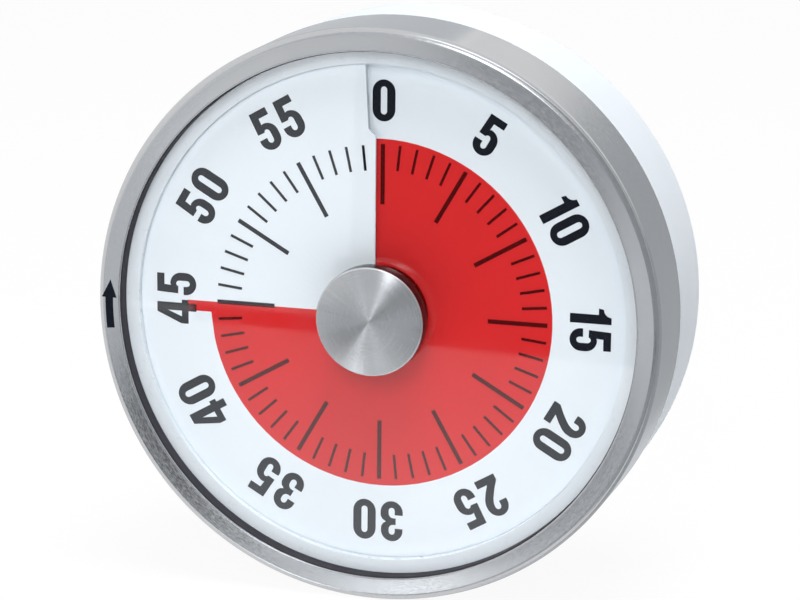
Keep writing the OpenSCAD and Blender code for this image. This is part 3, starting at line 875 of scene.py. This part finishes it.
class TIMER_OT_gasket(bpy.types.Operator):
    """Builds the rubber seal that holds the lens, and the bead that closes the groove round the dial"""

    bl_idname = "timer.gasket"
    bl_label = "Seal and bead"

    def execute(self, context):
        size, finish = context.scene.timer_lens, context.scene.timer_finish
        low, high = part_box("lens_seal")
        bore, rim, round_by, lap = size.radius + size.fit, high.x / MM, 0.7, 0.01
        front, rear = -low.y / MM - DEPTH, -high.y / MM - DEPTH
        profile = (
            arc(bore + size.edge, front - size.edge, size.edge, size.edge, 180, 90, 4)
            + arc(rim - round_by, front - round_by, round_by, round_by, 90, 0, 6)
            + [(rim, rear + lap), (bore, rear + lap)]
        )
        bm = turned(profile, context.scene.timer_stage.steps)
        gasket = finished(bm, "gasket", "case", soft_rubber("seal_rubber", RUBBER))
        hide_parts("lens_seal")
        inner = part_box("dial")[1].x / MM
        wide, drop, thick = 0.14, -0.1, 0.25
        outer = inner + wide
        profile = [(inner, drop - thick), (inner, drop), (outer, drop), (outer, drop - thick)]
        bm = turned(profile, context.scene.timer_stage.steps)
        follow_dial(bm)
        bead = finished(bm, "bead", "case", moulded("bead_white", finish.white, **DIAL_COAT))
        return {"FINISHED"}


class TIMER_OT_finishes(bpy.types.Operator):
    """Gives each carried-over node of the case, dial and movement its finish"""

    bl_idname = "timer.finishes"
    bl_label = "Finishes"

    def execute(self, context):
        finish = context.scene.timer_finish
        case = moulded("case_white", finish.case, roughness=0.38)
        # Painted shade: the bed and the film hub are a slightly darker copy of the dial white, for the
        # shade that falls on the ledge under the ring
        bed = moulded("bed_white", colour(finish.white, 0.945), roughness=0.3)
        steel = plated("arbor_steel", ARBOR_STEEL)
        brass = plated("plate_brass", BRASS)
        wheel = moulded("wheel_plastic", WHEEL_PLASTIC, roughness=0.4)
        magnet = plated("magnet_grey", MAGNET_GREY, roughness=0.32, tone=0.08)
        parts = {
            "dial": moulded("dial_white", finish.white, **DIAL_COAT),
            "red_film": tinted_film("film_red", finish.red),
            "knob_core": moulded("knob_dark", CORE_PLASTIC, roughness=0.5),
            "mainspring": plated("spring_steel", SPRING_STEEL, roughness=0.25),
            "bell": plated("bell_steel", BELL_STEEL, roughness=0.18, tone=0.06),
        }
        groups = {
            "case_shell stand": case,
            "dial_bed film_hub": bed,
            "magnet_left magnet_right": magnet,
            "front_plate back_plate pillar_1 pillar_2 pillar_3 great_wheel strike_cam": brass,
            "second_wheel third_wheel escape_wheel": wheel,
            "screw_1 screw_2 screw_3 bell_post hammer_pivot stand_pin main_arbor second_arbor": steel,
            "third_arbor escape_arbor pallet pallet_arbor hammer": steel,
        }
        for names, material in groups.items():
            for node in names.split():
                parts[node] = material
        for node, material in parts.items():
            slots = NODES[node].data.materials
            slots.clear()
            slots.append(material)
        # Light reaches the dial untinted and the film's colour counts for both ways, for a crisp edge
        NODES["red_film"].visible_shadow = NODES["red_film"].visible_diffuse = False
        return {"FINISHED"}


class TIMER_OT_stage(bpy.types.Operator):
    """Sets the camera, the floor, the soft lights and the white surround"""

    bl_idname = "timer.stage"
    bl_label = "Stage"

    def execute(self, context):
        scene, stage = context.scene, context.scene.timer_stage
        scene.view_settings.view_transform = "Standard"
        self.camera(scene, stage)
        self.surround(scene, stage)
        self.floor()
        for name, (sides, depth, *grey) in CARDS.items():
            self.card(name, sides, depth, grey)
        for name, (at, size, power) in LAMPS.items():
            self.lamp(scene, name, at, size, getattr(stage, power))
        return {"FINISHED"}

    def camera(self, scene, stage):
        data = bpy.data.cameras.new("camera")
        data.sensor_width, data.lens = SENSOR, stage.lens
        data.clip_start, data.clip_end = CLIP_START, CLIP_END
        camera = bpy.data.objects.new("camera", data)
        turn = Matrix(CAMERA_AXES).transposed().to_4x4()
        camera.matrix_world = Matrix.Translation(CAMERA_AT) @ turn
        scene.collection.objects.link(camera)
        scene.camera = camera

    def surround(self, scene, stage):
        """White for the eye and in mirrors, and a fainter even light on everything."""
        world = bpy.data.worlds.new("surround")
        world.use_nodes = True
        tree = world.node_tree
        tree.nodes.clear()
        mix = tree.nodes.new("ShaderNodeMixShader")
        tree.links.new(seen_rays(tree), mix.inputs[0])
        for socket, tint, strength in ((1, SKY_TINT, stage.sky), (2, WHITE, 1.0)):
            shade = tree.nodes.new("ShaderNodeBackground")
            shade.inputs["Color"].default_value = tint
            shade.inputs["Strength"].default_value = strength
            tree.links.new(shade.outputs[0], mix.inputs[socket])
        out = tree.nodes.new("ShaderNodeOutputWorld")
        tree.links.new(mix.outputs[0], out.inputs["Surface"])
        scene.world = world

    def floor(self):
        bm = bmesh.new()
        bmesh.ops.create_grid(bm, x_segments=2, y_segments=2, size=FLOOR_HALF)
        bmesh.ops.translate(bm, vec=(0, FLOOR_BEHIND, CAD_LOW.z), verts=bm.verts)
        floor = placed(bm, "floor")
        s = Shader("floor_white")
        cloth = s.principled(Base_Color=(*[FLOOR_GREY] * 3, 1), Roughness=FLOOR_ROUGHNESS)
        share = s.math("MULTIPLY", seen_rays(s.tree), FLOOR_GLOW)
        floor.data.materials.append(s.shown(s.mixed(share, cloth, s.glow(WHITE, 1.0))))
        floor.visible_glossy = False

    def card(self, name, sides, depth, grey):
        """An upright card that only mirroring surfaces see, of one grey or fading from foot to top."""
        left, right, low, high = sides
        bm = bmesh.new()
        bmesh.ops.create_grid(bm, x_segments=1, y_segments=1, size=0.5)
        bmesh.ops.scale(bm, vec=(right - left, high - low, 1), verts=bm.verts)
        bmesh.ops.translate(bm, vec=((left + right) / 2, (high - low) / -2, 0), verts=bm.verts)
        bmesh.ops.rotate(bm, matrix=Matrix.Rotation(CARD_TILT, 3, "Z"), verts=bm.verts)
        bmesh.ops.rotate(bm, matrix=Matrix.Rotation(math.pi / 2, 3, "X"), verts=bm.verts)
        bmesh.ops.translate(bm, vec=(0, depth, high), verts=bm.verts)
        card = placed(bm, name)
        s = Shader(name)
        strength = grey[0]
        if len(grey) == 2:
            height = s.node("ShaderNodeSeparateXYZ", {"Vector": s.coords}).outputs["Z"]
            strength = s.ranged(height, low, high, *grey)
        card.data.materials.append(s.shown(s.glow(CARD_TINT, strength)))
        card.visible_camera = card.visible_diffuse = card.visible_shadow = False
        card.visible_transmission = False

    def lamp(self, scene, name, at, size, power):
        data = bpy.data.lights.new(name, "AREA")
        data.shape, data.size, data.size_y = "RECTANGLE", *size
        data.energy = power
        lamp = bpy.data.objects.new(name, data)
        way = Vector(LAMPS_AIM) - Vector(at)
        lamp.matrix_world = Matrix.Translation(at) @ way.to_track_quat("-Z", "Y").to_matrix().to_4x4()
        scene.collection.objects.link(lamp)
        lamp.visible_glossy = False


# ---------------------------------------------------------------- panel and registering


class TIMER_PT_build(bpy.types.Panel):
    """Lists the steps that build the timer"""

    bl_idname = "TIMER_PT_build"
    bl_label = "Minute timer"
    bl_space_type = "VIEW_3D"
    bl_region_type = "UI"
    bl_category = "Timer"

    def draw(self, context):
        for step in STEPS:
            self.layout.operator(step.bl_idname)
        for group in GROUPS:
            box = self.layout.box()
            values = getattr(context.scene, group)
            for key in values.__annotations__:
                box.prop(values, key)


STEPS = (
    TIMER_OT_finishes,
    TIMER_OT_ring,
    TIMER_OT_arrow,
    TIMER_OT_ticks,
    TIMER_OT_numerals,
    TIMER_OT_knob,
    TIMER_OT_window,
    TIMER_OT_gasket,
    TIMER_OT_stage,
)
GROUPS = {
    "timer_ring": TimerRingSizes,
    "timer_print": TimerPrintSizes,
    "timer_lens": TimerLensSizes,
    "timer_knob": TimerKnobSizes,
    "timer_finish": TimerFinish,
    "timer_stage": TimerStage,
}


def register():
    for cls in (*GROUPS.values(), *STEPS, TIMER_PT_build):
        bpy.utils.register_class(cls)
    for name, cls in GROUPS.items():
        setattr(bpy.types.Scene, name, PointerProperty(type=cls))


def unregister():
    for name in GROUPS:
        delattr(bpy.types.Scene, name)
    for cls in (TIMER_PT_build, *STEPS, *GROUPS.values()):
        bpy.utils.unregister_class(cls)


def main():
    register()
    for step in STEPS:
        group, name = step.bl_idname.split(".")
        getattr(getattr(bpy.ops, group), name)()


if __name__ == "__main__":
    main()
